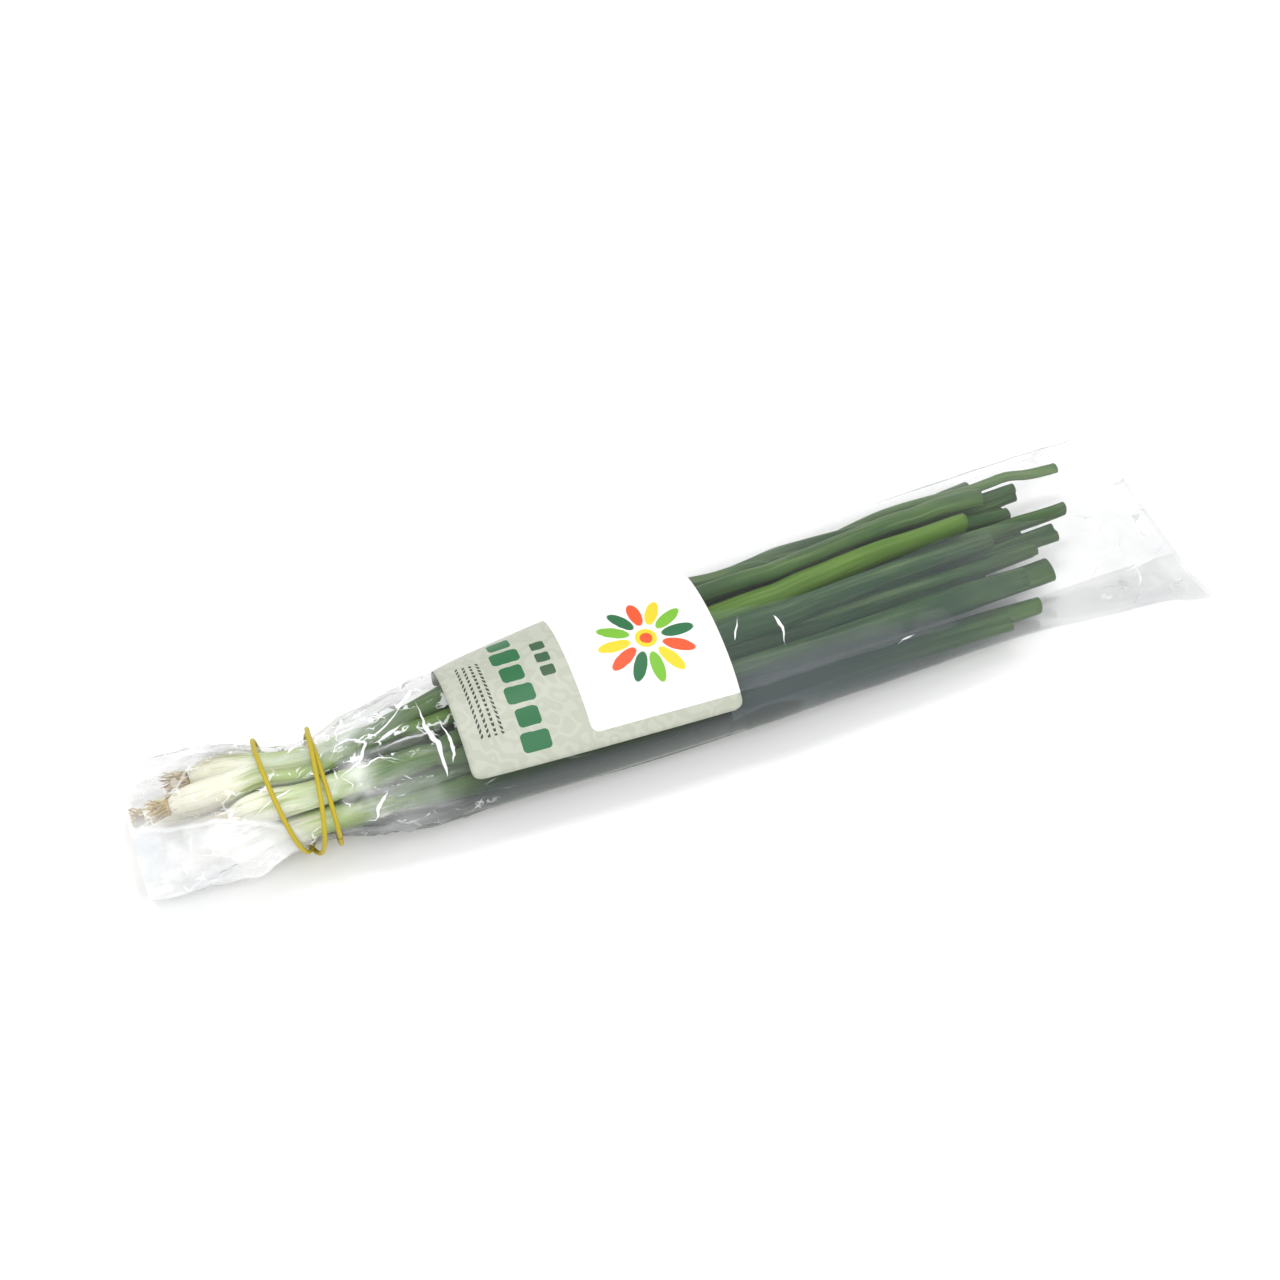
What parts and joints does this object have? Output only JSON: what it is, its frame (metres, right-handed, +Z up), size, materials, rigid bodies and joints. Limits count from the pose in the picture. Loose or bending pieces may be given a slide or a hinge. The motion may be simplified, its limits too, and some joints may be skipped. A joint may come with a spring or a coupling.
{
  "type": "spring onion bunch",
  "caption": "Bunch of spring onions lying in a clear film sleeve, with a plain paper label and a yellow rubber band wound round its neck.",
  "frame": {"origin": "on the table surface, under the middle of the film sleeve", "axes": "+X along the bunch, from the roots to the cut leaf ends; +Z up; -Y towards the side that shows the label"},
  "size_m": [0.44, 0.0945, 0.0461],
  "materials": {
    "spring_onion": "waxy satin",
    "roots": "matt, fibrous",
    "film": "clear gloss film",
    "band": "satin",
    "paper": "semi-matt paper"
  },
  "bodies": {
    "root": {"spring_onion_1": "spring_onion", "spring_onion_1_roots": "roots", "spring_onion_2": "spring_onion", "spring_onion_2_roots": "roots", "spring_onion_3": "spring_onion", "spring_onion_3_roots": "roots", "spring_onion_4": "spring_onion", "spring_onion_4_roots": "roots", "spring_onion_5": "spring_onion", "spring_onion_5_roots": "roots", "spring_onion_6": "spring_onion", "spring_onion_6_roots": "roots", "film_sleeve": "film", "rubber_band": "band", "paper_label": "paper"}
  },
  "joints": []
}
